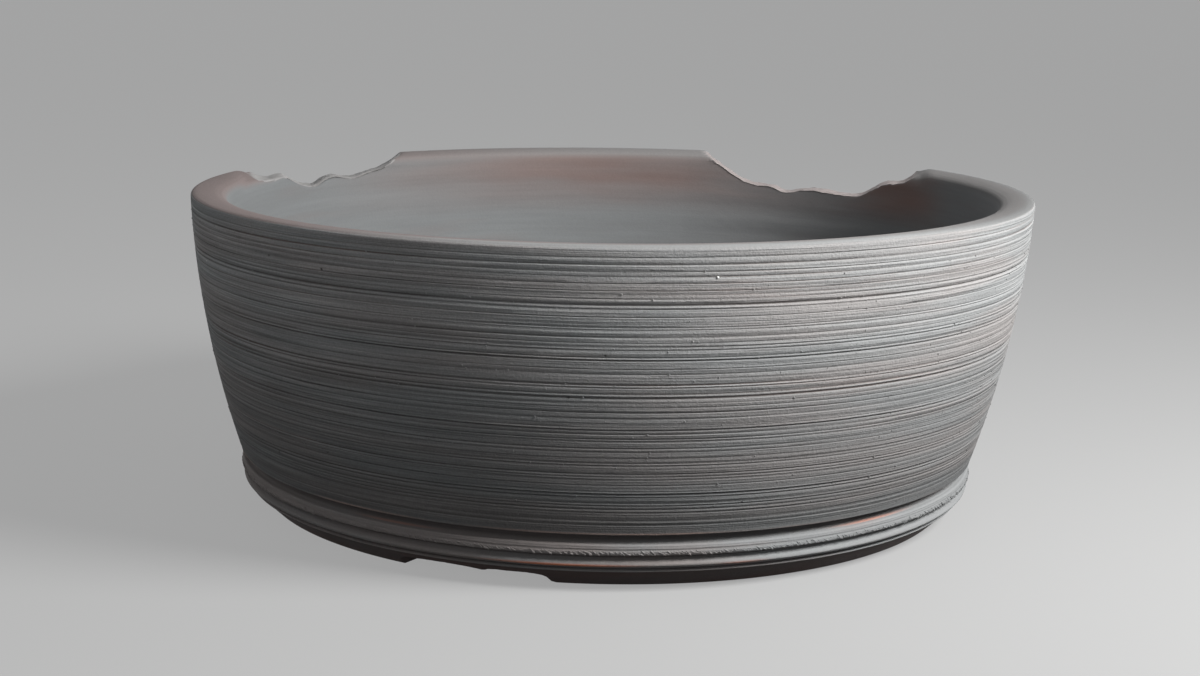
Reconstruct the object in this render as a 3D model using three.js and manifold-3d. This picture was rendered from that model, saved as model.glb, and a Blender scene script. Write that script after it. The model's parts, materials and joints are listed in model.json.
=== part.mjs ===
// Round bonsai pot in unglazed stoneware, made of the clay members that a potter joins with slip:
// a turned wall with a torn rim, a floor slab, a coil that seals the corner between them,
// the moulded band around the slab, and a notched foot ring.
// Millimetres, +Z up. The origin is under the middle of the pot, on the surface that it stands on.
// A turn is an angle in degrees, counted from the front (-Y) towards +X.
import * as THREE from 'three';
import { mergeVertices } from 'three/addons/utils/BufferGeometryUtils.js';
import Module from 'manifold-3d';

// Wall and lip
const potHeight = 89.4;
const rimRadius = 120;
const wallFootRadius = 105.8;
const wallSwell = 4.6;
const wallThickness = 10;
const lipRise = 2.6;

// Main lines combed into the outside, each at a share of the way up the wall
const combLines = [0.15, 0.39, 0.505, 0.64, 0.83];
const combWidth = 1.8;
const combDepth = 0.6;

// Coil pressed into the inside corner
const coilRise = 12;
const coilReach = 12;
const coilEdge = 1;

// Mouldings of the band, from the foot ring up. A reach is how far one stands out, or cuts in if negative.
const bandSetback = 2.5;
const bandWidth = 9.5;
const fineGrooveHeight = 1;
const fineGrooveReach = -0.7;
const lowerRollHeight = 2.6;
const lowerRollReach = 1.8;
const grooveHeight = 0.9;
const grooveReach = -0.6;
const upperRollHeight = 3.1;
const upperRollReach = 2.3;
const coveHeight = 2.5;
const coveReach = -1.8;

// Foot ring and its drainage notches
const ringHeight = 5.2;
const ringSetback = 0.2;
const ringSlant = 5.5;
const ringWidth = 12;
const ringEdge = 0.8;
const notchCount = 3;
const notchWidth = 41;
const notchDepth = 3.8;
const firstNotchTurn = -31.4;

// Floor slab with its drain holes, and pairs of small holes for the wires that tie a tree down
const slipJoint = 0.3;
const edgeRound = 1.2;
const drainCount = 3;
const drainRadius = 11;
const drainPitchRadius = 46;
const firstDrainTurn = 40;
const wirePairCount = 3;
const wireHoleRadius = 2.5;
const wirePitchRadius = 70;
const wireSpacing = 24;
const firstWireTurn = 100;

// Two bites torn straight through the back of the rim. Their left ends and widths are measured at biteMiddle
// behind the axis, and they widen from front to back like lines from a point at biteSplay before that.
const rightBiteLeft = 28.8;
const rightBiteWidth = 73;
const rightBiteDepth = 12.7;
const leftBiteLeft = -120.5;
const leftBiteWidth = 52;
const leftBiteDepth = 9.2;
const biteFront = 20;
const biteMiddle = 85;
const biteBack = 140;
const biteSplay = 674;

// Torn edges, drawn by hand: each pair is a share of the width along the edge and a share of the full depth
const rightBiteEdge = [
  [0, 0], [0.07, 0.26], [0.12, 0.45], [0.2, 0.74], [0.26, 0.84], [0.34, 0.86], [0.4, 0.98], [0.47, 0.9],
  [0.55, 0.86], [0.66, 0.9], [0.74, 0.86], [0.8, 0.64], [0.85, 0.48], [0.92, 0.4], [0.96, 0.25], [1, 0],
];
const leftBiteEdge = [
  [0, 0], [0.04, 0.36], [0.12, 0.57], [0.22, 0.54], [0.31, 0.86], [0.39, 1], [0.43, 1], [0.47, 0.86],
  [0.54, 0.76], [0.65, 0.89], [0.77, 0.72], [0.85, 0.61], [0.96, 0.26], [1, 0],
];
const notchEdge = [
  [0, 0], [0.03, 0.8], [0.3, 1], [0.5, 0.9], [0.58, 0.75], [0.66, 0.95], [0.94, 0.8], [1, 0],
];

// Fineness of the round and torn edges
const roundSteps = 72;
const curveSteps = 8;
const rollSteps = 5;
const tornSteps = 3;
const drainSteps = 20;
const wireHoleSteps = 8;

// Levels and radii that the pieces share
const bandHeight = fineGrooveHeight + lowerRollHeight + grooveHeight + upperRollHeight + coveHeight;
const wallBase = ringHeight + bandHeight;
const shoulderHeight = potHeight - lipRise;
const bandRadius = wallFootRadius - bandSetback;
const seatRadius = bandRadius - bandWidth;
const slabRadius = seatRadius - slipJoint;
const ringTopRadius = bandRadius - ringSetback;
const soleRadius = ringTopRadius - ringSlant;
const ringInnerRadius = soleRadius - ringWidth;

const wasm = await Module();
wasm.setup();

function clay(colour) {
  return new THREE.MeshStandardMaterial({ color: colour, roughness: 0.9, metalness: 0 });
}

// Turns a closed outline of radius and height round the upright axis. The outline climbs on the outside.
function turned(outline) {
  const geometry = new THREE.LatheGeometry([...outline, outline[0]], roundSteps);
  return geometry.rotateX(Math.PI / 2);
}

function toSolid(geometry) {
  geometry.deleteAttribute('normal');
  geometry.deleteAttribute('uv');
  const merged = mergeVertices(geometry);
  const mesh = new wasm.Mesh({
    numProp: 3,
    vertProperties: Float32Array.from(merged.getAttribute('position').array),
    triVerts: Uint32Array.from(merged.getIndex().array),
  });
  return new wasm.Manifold(mesh);
}

function toGeometry(solid) {
  const mesh = solid.getMesh();
  const geometry = new THREE.BufferGeometry();
  geometry.setAttribute('position', new THREE.BufferAttribute(mesh.vertProperties, 3));
  geometry.setIndex(new THREE.BufferAttribute(mesh.triVerts, 1));
  geometry.computeVertexNormals();
  return geometry;
}

function cutAway(geometry, cutters) {
  let solid = toSolid(geometry);
  for (const cutter of cutters) {
    solid = solid.subtract(toSolid(cutter));
  }
  return toGeometry(solid);
}

// The outline of a torn cutter. Its torn edge starts at level and goes depth towards the clay,
// up for a positive depth and down for a negative one. Away from the clay the outline is clear of it.
function tornOutline(edge, width, depth, level) {
  const points = edge.map(([along, share]) => new THREE.Vector2(along * width, level + share * depth));
  const torn = new THREE.SplineCurve(points).getPoints(tornSteps * (edge.length - 1));
  const clearLevel = level - depth;
  torn.push(new THREE.Vector2(width, clearLevel));
  torn.push(new THREE.Vector2(0, clearLevel));
  return new THREE.Shape(torn);
}

function biteCutter(edge, left, width, depth) {
  const shape = tornOutline(edge, width, -depth, potHeight);
  const geometry = new THREE.ExtrudeGeometry(shape, { depth: biteBack - biteFront, bevelEnabled: false });
  geometry.rotateX(Math.PI / 2);
  geometry.translate(left, biteBack, 0);
  const place = geometry.getAttribute('position');
  for (let i = 0; i < place.count; i += 1) {
    const spread = 1 + (place.getY(i) - biteMiddle) / biteSplay;
    place.setX(i, place.getX(i) * spread);
  }
  return geometry;
}

// A notch cutter is bent round the foot ring.
function notchCutter(startTurn) {
  const innerReach = ringInnerRadius - ringWidth;
  const outerReach = ringTopRadius + ringWidth;
  const shape = tornOutline(notchEdge, notchWidth, notchDepth, 0);
  const geometry = new THREE.ExtrudeGeometry(shape, { depth: outerReach - innerReach, bevelEnabled: false });
  geometry.translate(0, 0, innerReach);
  const place = geometry.getAttribute('position');
  for (let i = 0; i < place.count; i += 1) {
    const turn = THREE.MathUtils.degToRad(startTurn) + place.getX(i) / soleRadius;
    const reach = place.getZ(i);
    place.setXYZ(i, reach * Math.sin(turn), -reach * Math.cos(turn), place.getY(i));
  }
  return geometry;
}

// The outside of the wall swells between its foot and its shoulder. Height grows evenly along this curve.
function wallSide() {
  const foot = new THREE.Vector2(wallFootRadius, wallBase);
  const shoulder = new THREE.Vector2(rimRadius, shoulderHeight);
  const swell = foot.clone().lerp(shoulder, 0.5);
  swell.x += wallSwell;
  return new THREE.QuadraticBezierCurve(foot, swell, shoulder);
}

// The outside from foot to shoulder, with a shallow V cut along each combed line
function combedSide() {
  const side = wallSide();
  const halfShare = combWidth / 2 / (shoulderHeight - wallBase);
  const points = [side.getPoint(0)];
  for (const share of combLines) {
    const bottom = side.getPoint(share);
    bottom.x -= combDepth;
    points.push(side.getPoint(share - halfShare), bottom, side.getPoint(share + halfShare));
  }
  points.push(side.getPoint(1));
  return points;
}

// The inside follows the wall's curve at its thickness, and the lip between the sides is half an ellipse.
function thrownWall() {
  const outside = combedSide();
  const inner = wallSide().getPoints(curveSteps).reverse();
  const inside = inner.map((point) => new THREE.Vector2(point.x - wallThickness, point.y));
  const lipHalf = wallThickness / 2;
  const lipArc = new THREE.EllipseCurve(rimRadius - lipHalf, shoulderHeight, lipHalf, lipRise, 0, Math.PI);
  const lip = lipArc.getPoints(curveSteps).slice(1, -1);

  const cutters = [
    biteCutter(rightBiteEdge, rightBiteLeft, rightBiteWidth, rightBiteDepth),
    biteCutter(leftBiteEdge, leftBiteLeft, leftBiteWidth, leftBiteDepth),
  ];
  return cutAway(turned([...outside, ...lip, ...inside]), cutters);
}

// The coil lies on the floor slab and the band, backs on to the wall and has a hollow face.
function cornerCoil() {
  const side = wallSide();
  const topShare = coilRise / (shoulderHeight - wallBase);
  const setback = wallThickness + slipJoint;
  const back = [];
  for (let step = 0; step <= rollSteps; step += 1) {
    const point = side.getPoint(topShare * step / rollSteps);
    back.push(new THREE.Vector2(point.x - setback, point.y));
  }
  const hollowTop = back.at(-1).clone();
  hollowTop.x -= coilEdge;
  const hollowTurn = new THREE.Vector2(back[0].x, wallBase + coilEdge);
  const hollowEnd = new THREE.Vector2(back[0].x - coilReach, wallBase + coilEdge);
  const hollow = new THREE.QuadraticBezierCurve(hollowTop, hollowTurn, hollowEnd).getPoints(curveSteps);
  const toe = new THREE.Vector2(hollowEnd.x, wallBase);
  return turned([...back, ...hollow, toe]);
}

// One moulding of the band: half an ellipse on the band's own radius, standing out or cut in.
function moulding(bottom, height, reach) {
  const points = [];
  for (let step = 0; step <= rollSteps; step += 1) {
    const sweep = Math.PI * step / rollSteps;
    const rise = height * (1 - Math.cos(sweep)) / 2;
    points.push(new THREE.Vector2(bandRadius + reach * Math.sin(sweep), bottom + rise));
  }
  return points;
}

function footBand() {
  const mouldings = [
    [fineGrooveHeight, fineGrooveReach],
    [lowerRollHeight, lowerRollReach],
    [grooveHeight, grooveReach],
    [upperRollHeight, upperRollReach],
    [coveHeight, coveReach],
  ];
  const outline = [new THREE.Vector2(seatRadius, ringHeight)];
  let level = ringHeight;
  for (const [height, reach] of mouldings) {
    outline.push(...moulding(level, height, reach).slice(0, -1));
    level += height;
  }
  outline.push(new THREE.Vector2(bandRadius, wallBase));
  outline.push(new THREE.Vector2(seatRadius, wallBase));
  return turned(outline);
}

function footRing() {
  const outline = [
    new THREE.Vector2(ringInnerRadius, ringEdge),
    new THREE.Vector2(ringInnerRadius + ringEdge, 0),
    new THREE.Vector2(soleRadius - ringEdge, 0),
    new THREE.Vector2(soleRadius, ringEdge),
    new THREE.Vector2(ringTopRadius, ringHeight),
    new THREE.Vector2(ringInnerRadius, ringHeight),
  ];
  const cutters = [];
  for (let index = 0; index < notchCount; index += 1) {
    cutters.push(notchCutter(firstNotchTurn + index * 360 / notchCount));
  }
  return cutAway(turned(outline), cutters);
}

function circle(radius, steps, centre) {
  const points = [];
  for (let step = 0; step < steps; step += 1) {
    const sweep = 2 * Math.PI * step / steps;
    points.push(new THREE.Vector2(radius, 0).rotateAround(new THREE.Vector2(), sweep).add(centre));
  }
  return points;
}

function placed(pitchRadius, turn) {
  const angle = THREE.MathUtils.degToRad(turn);
  return new THREE.Vector2(pitchRadius * Math.sin(angle), -pitchRadius * Math.cos(angle));
}

// The slab fills the band from the foot ring up. Its edges, and those of its holes, are sponged round.
function floorSlab() {
  const shape = new THREE.Shape(circle(slabRadius, roundSteps, new THREE.Vector2()));
  for (let index = 0; index < drainCount; index += 1) {
    const centre = placed(drainPitchRadius, firstDrainTurn + index * 360 / drainCount);
    shape.holes.push(new THREE.Path(circle(drainRadius, drainSteps, centre)));
  }
  const halfSpread = THREE.MathUtils.radToDeg(wireSpacing / 2 / wirePitchRadius);
  for (let index = 0; index < wirePairCount; index += 1) {
    const middle = firstWireTurn + index * 360 / wirePairCount;
    for (const turn of [middle - halfSpread, middle + halfSpread]) {
      shape.holes.push(new THREE.Path(circle(wireHoleRadius, wireHoleSteps, placed(wirePitchRadius, turn))));
    }
  }
  const geometry = new THREE.ExtrudeGeometry(shape, {
    depth: bandHeight - 2 * edgeRound,
    bevelThickness: edgeRound,
    bevelSize: edgeRound,
    bevelOffset: -edgeRound,
    bevelSegments: 1,
  });
  return geometry.translate(0, 0, ringHeight + edgeRound);
}

const pot = new THREE.Group();
pot.name = 'round_bonsai_pot';
const pieces = [
  ['thrown_wall', thrownWall(), 0x76716f],
  ['foot_band', footBand(), 0x7d7876],
  ['corner_coil', cornerCoil(), 0x6f6c6c],
  ['floor_slab', floorSlab(), 0x6f6c6c],
  ['foot_ring', footRing(), 0x675f5b],
];
for (const [name, geometry, colour] of pieces) {
  const piece = new THREE.Mesh(geometry, clay(colour));
  piece.name = name;
  pot.add(piece);
}

export default pot;
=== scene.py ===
import json
import math

import bpy
from mathutils import Matrix, Vector

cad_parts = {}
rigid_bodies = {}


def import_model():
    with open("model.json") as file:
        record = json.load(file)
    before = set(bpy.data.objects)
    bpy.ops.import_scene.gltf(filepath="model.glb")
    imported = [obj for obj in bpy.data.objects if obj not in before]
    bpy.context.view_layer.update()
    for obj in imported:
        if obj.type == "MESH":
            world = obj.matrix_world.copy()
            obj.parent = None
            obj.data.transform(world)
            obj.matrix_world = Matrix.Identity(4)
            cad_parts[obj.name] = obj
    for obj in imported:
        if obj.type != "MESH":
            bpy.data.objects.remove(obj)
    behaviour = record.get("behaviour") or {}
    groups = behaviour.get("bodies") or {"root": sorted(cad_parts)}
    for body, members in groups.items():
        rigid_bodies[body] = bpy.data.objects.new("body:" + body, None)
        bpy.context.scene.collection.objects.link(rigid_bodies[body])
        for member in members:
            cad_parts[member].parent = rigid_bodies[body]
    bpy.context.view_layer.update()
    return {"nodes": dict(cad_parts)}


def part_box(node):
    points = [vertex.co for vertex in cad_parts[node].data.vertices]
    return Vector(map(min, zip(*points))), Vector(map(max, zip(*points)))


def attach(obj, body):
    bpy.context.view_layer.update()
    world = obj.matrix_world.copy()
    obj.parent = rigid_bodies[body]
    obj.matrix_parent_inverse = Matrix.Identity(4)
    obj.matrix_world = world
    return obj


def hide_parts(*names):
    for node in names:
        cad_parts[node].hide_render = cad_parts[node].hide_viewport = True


for leftover in list(bpy.data.objects):
    bpy.data.objects.remove(leftover)
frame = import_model()
cadNodes = frame["nodes"]
mm = 0.001
print("frame loaded with", ", ".join(sorted(cadNodes)))


# a socket that takes part in sums, so that a tree of shapes or colours is written as a formula
class Wire:
    def __init__(self, tree, socket):
        self.tree = tree
        self.socket = socket

    def sum(self, operation, *others):
        return make(self.tree, "ShaderNodeMath", (self, *others), operation=operation)

    def __add__(self, other):
        return self.sum("ADD", other)

    def __sub__(self, other):
        return self.sum("SUBTRACT", other)

    def __mul__(self, other):
        return self.sum("MULTIPLY", other)

    def __truediv__(self, other):
        return self.sum("DIVIDE", other)

    def __pow__(self, other):
        return self.sum("POWER", other)

    def __rsub__(self, other):
        return self.sum("MULTIPLY_ADD", -1.0, other)

    def __neg__(self):
        return self.sum("MULTIPLY", -1.0)

    __radd__ = __add__
    __rmul__ = __mul__

    def sin(self):
        return self.sum("SINE")

    def cos(self):
        return self.sum("COSINE")

    def floor(self):
        return self.sum("FLOOR")

    def least(self, other):
        return self.sum("MINIMUM", other)

    def most(self, other):
        return self.sum("MAXIMUM", other)

    def past(self, other):
        return self.sum("GREATER_THAN", other)

    def at(self, other):
        return self.sum("COMPARE", other, 0.5)

    # goes from 0 to 1 between two values, evenly or eased at both ends
    def ramp(self, low, high, kind="LINEAR"):
        return make(self.tree, "ShaderNodeMapRange", (self, low, high), interpolation_type=kind)

    def ease(self, low, high):
        return self.ramp(low, high, "SMOOTHSTEP")

    # 1 near a middle, 0 beyond a half width
    def hill(self, middle, half):
        return 1.0 - (self - middle).sum("ABSOLUTE").ease(0.0, half)


def plug(tree, value, socket):
    if isinstance(value, Wire):
        tree.links.new(value.socket, socket)
    elif value is not None:
        socket.default_value = value


def make(tree, kind, plugs=(), out=0, **settings):
    node = tree.nodes.new(kind)
    for label, value in settings.items():
        setattr(node, label, value)
    pairs = plugs.items() if isinstance(plugs, dict) else enumerate(plugs)
    for place, value in pairs:
        plug(tree, value, node.inputs[place])
    return Wire(tree, node.outputs[out])


def spot(tree, x, y, z):
    return make(tree, "ShaderNodeCombineXYZ", (x, y, z))


def clouds(tree, x, y, z, detail=2.0, rough=0.5):
    plugs = {"Vector": spot(tree, x, y, z), "Scale": 1.0, "Detail": detail, "Roughness": rough}
    return make(tree, "ShaderNodeTexNoise", plugs)


# the same, from -1 to 1
def waver(tree, x, y, z, detail=2.0, rough=0.5):
    return (clouds(tree, x, y, z, detail, rough) - 0.5) * 2.0


def between(first, second, share):
    return first + (second - first) * share


# a random number for each whole number
def draw(tree, number, seed, low=0.0, high=1.0):
    plugs = {2: low, 3: high, 7: number, 8: seed}
    return make(tree, "FunctionNodeRandomValue", plugs, out=1, data_type="FLOAT")


# angle or height reached after some steps, for a plan of (steps, span) stretches
def reached(count, plan):
    total, start = None, 0
    for steps, span in plan:
        part = count.ramp(float(start), float(start + steps)) * span
        total = part if total is None else total + part
        start += steps
    return total


# a tree with one named input for each size
def newTree(name, sizes):
    tree = bpy.data.node_groups.new(name, "GeometryNodeTree")
    keys = {}
    kinds = {label: "NodeSocketInt" if isinstance(value, int) else "NodeSocketFloat"
             for label, value in sizes.items()}
    kinds["clay"] = "NodeSocketMaterial"
    kinds["solid"] = "NodeSocketObject"
    for label, kind in kinds.items():
        keys[label] = tree.interface.new_socket(label, in_out="INPUT", socket_type=kind).identifier
    tree.interface.new_socket("Geometry", in_out="OUTPUT", socket_type="NodeSocketGeometry")
    inlet = tree.nodes.new("NodeGroupInput")
    return tree, keys, {label: Wire(tree, inlet.outputs[label]) for label in kinds}


def closeTree(tree, shape, size):
    shape = make(tree, "GeometryNodeRealizeInstances", {"Geometry": shape})
    shape = make(tree, "GeometryNodeSetMaterial", {"Geometry": shape, "Material": size["clay"]})
    outlet = tree.nodes.new("NodeGroupOutput")
    plug(tree, shape, outlet.inputs[0])


# runs a tree and keeps its result as a plain mesh
def runTree(name, tree, keys, sizes, clay, solid=None, sharp=50.0):
    piece = bpy.data.objects.new(name, bpy.data.meshes.new(name))
    bpy.context.scene.collection.objects.link(piece)
    modifier = piece.modifiers.new("turning", "NODES")
    modifier.node_group = tree
    for label, value in sizes.items():
        modifier[keys[label]] = value
    modifier[keys["clay"]] = clay
    modifier[keys["solid"]] = solid
    graph = bpy.context.evaluated_depsgraph_get()
    mesh = bpy.data.meshes.new_from_object(
        piece.evaluated_get(graph), preserve_all_data_layers=True, depsgraph=graph)
    piece.modifiers.clear()
    piece.data = mesh
    mesh.name = name
    mesh.shade_smooth()
    mesh.set_sharp_from_angle(angle=math.radians(sharp))
    mesh.calc_loop_triangles()
    print(name, "has", len(mesh.loop_triangles), "triangles")
    return piece


# a ring of clay: a grid whose columns go round the pot and whose rows follow a closed outline
def turnedPiece(name, sizes, columnPlan, rows, startTurn, outline, clay, solid=None, sharp=50.0):
    tree, keys, size = newTree(name + "_turned", sizes)
    columns = sum(steps for steps, span in columnPlan) + 1
    index = make(tree, "GeometryNodeInputIndex")
    column = ((index + 0.5) / float(rows)).floor()
    row = index - column * float(rows)
    turn = (reached(column, columnPlan) + startTurn) * (math.pi / 180)
    reach, height, marks = outline(tree, size, turn, row)
    shape = make(tree, "GeometryNodeMeshGrid", {"Vertices X": columns, "Vertices Y": rows})
    for label, value in marks.items():
        plugs = {"Geometry": shape, "Name": label, "Value": value}
        shape = make(tree, "GeometryNodeStoreNamedAttribute", plugs, data_type="FLOAT", domain="POINT")
    place = spot(tree, reach * turn.sin(), -(reach * turn.cos()), height)
    shape = make(tree, "GeometryNodeSetPosition", {"Geometry": shape, "Position": place})
    shape = make(tree, "GeometryNodeMergeByDistance", {"Geometry": shape, "Distance": 0.01 * mm})
    closeTree(tree, shape, size)
    return runTree(name, tree, keys, sizes, clay, solid, sharp)


# height at which a plumb ray meets the CAD solid
def rayHeight(tree, size, turn, reach, start, way):
    body = make(tree, "GeometryNodeObjectInfo", {"Object": size["solid"]}, out="Geometry")
    plugs = {
        "Target Geometry": body,
        "Source Position": spot(tree, turn.sin() * reach, -(turn.cos() * reach), start),
        "Ray Direction": (0.0, 0.0, way),
        "Ray Length": 1.0,
    }
    met = make(tree, "GeometryNodeRaycast", plugs, out="Hit Position")
    return make(tree, "ShaderNodeSeparateXYZ", (met,), out=2)


# shader helpers
def tint(tree, first, second, share, blend="MIX"):
    plugs = {0: share, 6: first, 7: second}
    return make(tree, "ShaderNodeMix", plugs, out=2, data_type="RGBA", blend_type=blend)


def shaded(tree, colour, share):
    return tint(tree, colour, share, 1.0, "MULTIPLY")


def mark(tree, label):
    return make(tree, "ShaderNodeAttribute", out="Fac", attribute_name=label)


# an unglazed clay: the paint function gives colour, roughness and relief in metres
def clayFinish(name, paint, specular):
    material = bpy.data.materials.new(name)
    material.use_nodes = True
    tree = material.node_tree
    tree.nodes.clear()
    shader = tree.nodes.new("ShaderNodeBsdfPrincipled")
    outlet = tree.nodes.new("ShaderNodeOutputMaterial")
    tree.links.new(shader.outputs[0], outlet.inputs["Surface"])
    shader.inputs["Specular IOR Level"].default_value = specular
    place = make(tree, "ShaderNodeTexCoord", out="Object")
    split = tree.nodes.new("ShaderNodeSeparateXYZ")
    plug(tree, place, split.inputs[0])
    x, y, z = (Wire(tree, split.outputs[axis]) for axis in range(3))
    colour, roughness, relief = paint(tree, x, y, z)
    bump = make(tree, "ShaderNodeBump", {"Strength": 1.0, "Distance": 1.0, "Height": relief}, out="Normal")
    plug(tree, colour, shader.inputs["Base Color"])
    plug(tree, roughness, shader.inputs["Roughness"])
    plug(tree, bump, shader.inputs["Normal"])
    return material


# grain of the clay: sandy relief, and speckle from 0 to 1
def clayGrain(tree, x, y, z, grainPitch):
    scale = 1 / grainPitch
    sand = clouds(tree, x * scale, y * scale, z * scale, 3.0, 0.65)
    scale = 0.22 / grainPitch
    lumps = clouds(tree, x * scale, y * scale, z * scale, 2.0, 0.5)
    return sand, lumps


# streaks that run round the pot: length and height of a streak in metres
def streaks(tree, x, y, z, length, height, detail=3.0, rough=0.55):
    return clouds(tree, x / length, y / length, z / height, detail, rough)


# little pits where grains fell out of the clay
def pits(tree, x, y, z, pitch, width):
    cell = tree.nodes.new("ShaderNodeTexVoronoi")
    cell.inputs["Scale"].default_value = 1.0
    plug(tree, spot(tree, x / pitch, y / pitch, z / pitch), cell.inputs["Vector"])
    chance = make(tree, "ShaderNodeSeparateColor", (Wire(tree, cell.outputs["Color"]),))
    near = 1.0 - Wire(tree, cell.outputs["Distance"]).ease(0.3 * width / pitch, 0.6 * width / pitch)
    return near * chance.past(0.7)


# finish of the combed wall, outside, lip, inside and torn faces
wallColours = {
    "cool": (0.256, 0.261, 0.26, 1),
    "warm": (0.27, 0.256, 0.249, 1),
    "flash": (0.29, 0.205, 0.178, 1),
    # painted shade in the combed grooves and the pits
    "paintedRecessShade": (0.085, 0.075, 0.072, 1),
    # painted highlight on the lower edge of each combed line
    "paintedEdgeHighlight": (0.4, 0.39, 0.385, 1),
    "lipPink": (0.176, 0.143, 0.136, 1),
    "lipWarm": (0.214, 0.205, 0.2, 1),
    "lipPale": (0.252, 0.254, 0.251, 1),
    "insideBlue": (0.164, 0.17, 0.171, 1),
    "insideGrey": (0.161, 0.162, 0.163, 1),
    "insideRed": (0.175, 0.112, 0.097, 1),
    "tornGrey": (0.31, 0.3, 0.293, 1),
    "tornPink": (0.3, 0.262, 0.253, 1),
    "quartz": (0.85, 0.84, 0.82, 1),
    "grainPitch": 0.62 * mm,
    "pitPitch": 7 * mm,
    "pitWidth": 0.8 * mm,
    "paintedShadeLow": 18 * mm,       # painted shade: the clay is painted darker towards the foot
    "paintedShadeHigh": 72 * mm,
    "paintedShadeLeast": 0.49,
    "paintedShadeGain": 0.57,
    "edgeHeight": 15.6 * mm,   # reddish lower edge
    "edgeWidth": 0.4 * mm,
    "backRedLow": 66 * mm,
    "backRedHigh": 77 * mm,
    "sideRedLow": 70 * mm,
    "sideRedHigh": 79 * mm,
    "sideRedMiddle": 91 * mm,
}


def paintWall(tree, x, y, z):
    c = wallColours
    sand, lumps = clayGrain(tree, x, y, z, c["grainPitch"])
    broad = streaks(tree, x, y, z, 0.09, 0.010)
    fine = streaks(tree, x, y, z, 0.035, 0.0012)
    drag = streaks(tree, x, y, z, 0.1, 0.0005, 2.0, 0.6)
    blush = streaks(tree, x, y, z, 0.12, 0.016, 2.0)
    pit = pits(tree, x, y, z, c["pitPitch"], c["pitWidth"])
    groove = mark(tree, "groove")
    inside = mark(tree, "inside")
    torn = mark(tree, "torn")
    lip = mark(tree, "lip")
    smooth = (inside + lip * 0.5 + torn).least(1.0)
    leftPaintedLight = 1.0 - x.ease(-0.07, 0.0)        # painted shade and highlight: on the left the lines are painted darker, their edges paler and the streaks stronger

    # combed outside
    colour = tint(tree, c["cool"], c["warm"], broad.ease(0.38, 0.64))
    flash = blush.ease(0.54, 0.72) * fine.ease(0.5, 0.68)
    colour = tint(tree, colour, c["flash"], flash * 0.25)
    # painted highlight where the groove mark is negative, on the lower edge of a line
    colour = tint(tree, colour, c["paintedEdgeHighlight"], (-groove).most(0.0) * (leftPaintedLight * 0.4 + 0.3))
    groove = groove.most(0.0)
    # painted shade in the grooves
    colour = tint(tree, colour, c["paintedRecessShade"], groove * (leftPaintedLight * 0.45 + 0.5))
    colour = tint(tree, colour, c["flash"], groove * blush.ease(0.5, 0.66) * 0.4)
    # painted shade and highlight: the streaks get more contrast on the left
    streaky = leftPaintedLight * 0.75 + 0.3
    colour = shaded(tree, colour, (fine - 0.5) * streaky + 1.0)
    colour = shaded(tree, colour, (drag - 0.5) * streaky + 1.0)
    # painted shade, darker towards the foot
    colour = shaded(tree, colour, z.ramp(c["paintedShadeLow"], c["paintedShadeHigh"]) * c["paintedShadeGain"] + c["paintedShadeLeast"])
    edge = z.hill(c["edgeHeight"], c["edgeWidth"]) * broad.ease(0.42, 0.58)
    colour = tint(tree, colour, c["flash"], edge * 0.8)
    # painted shade in the pits
    colour = tint(tree, colour, c["paintedRecessShade"], pit * 0.7)

    # smooth lip, pale outside and pink on top at the left
    lipTop = tint(tree, c["lipPink"], c["lipWarm"], (x + y * 0.3).ease(-0.1, 0.06))
    lipEdge = tint(tree, c["lipPink"], c["lipPale"], x.ease(-0.09, -0.02))
    lipClay = tint(tree, lipEdge, lipTop, mark(tree, "crown").ease(0.12, 0.4))
    # painted shade: the lip is darker at the right
    lipClay = shaded(tree, lipClay, 1.0 - x.ease(0.07, 0.115) * 0.42)
    colour = tint(tree, colour, lipClay, lip)

    # lining, blue grey with red brown near the rim at the back
    patch = streaks(tree, x, y, z, 0.09, 0.009, 3.0)
    lining = tint(tree, c["insideGrey"], c["insideBlue"], (patch * 0.6 - x * 1.6).ease(0.1, 0.42))
    veil = streaks(tree, x, y, z, 0.08, 0.012, 2.0).ease(0.34, 0.64) * 0.5 + 0.5
    backRed = z.ease(c["backRedLow"], c["backRedHigh"]) * y.ease(0.04, 0.09) * x.hill(0.0, 0.12)
    sideRed = z.ease(c["sideRedLow"], c["sideRedHigh"]) * x.hill(c["sideRedMiddle"], 0.02)
    sideRed = sideRed * y.ease(0.03, 0.05)
    lining = tint(tree, lining, c["insideRed"], (backRed * 0.75 + sideRed).least(1.0) * veil)
    blot = streaks(tree, x + 0.5, y, z, 0.07, 0.006, 2.0)
    lining = tint(tree, lining, c["insideRed"], blot.ease(0.52, 0.7) * 0.12)
    lining = shaded(tree, lining, (fine * 0.2 + 0.9) * (patch * 0.24 + 0.88))
    # painted shade: the lining is darker towards the right, where it faces away from the light
    lining = shaded(tree, lining, 1.0 - x.ease(0.03, 0.09) * 0.12)
    colour = tint(tree, colour, lining, inside)

    tornClay = tint(tree, c["tornGrey"], c["tornPink"], x.ease(-0.02, 0.02))
    colour = tint(tree, colour, tornClay, torn * (lumps * 0.4 + 0.75).least(1.0))
    colour = shaded(tree, colour, between(sand * 0.5 + 0.75, sand * 0.2 + 0.9, smooth))
    colour = tint(tree, colour, c["quartz"], mark(tree, "quartz"))

    rough = sand * (0.19 * mm) + lumps * (0.12 * mm)
    relief = rough * (1.0 - smooth * 0.75)
    relief = relief + (drag * (0.28 * mm) + fine * (0.22 * mm) - pit * (0.4 * mm)) * (1.0 - smooth)
    relief = relief + torn * lumps * (0.5 * mm)
    return colour, sand * 0.12 + 0.8, relief


wallClay = clayFinish("combed_stoneware", paintWall, 0.25)
print("wall finish made")

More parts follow.
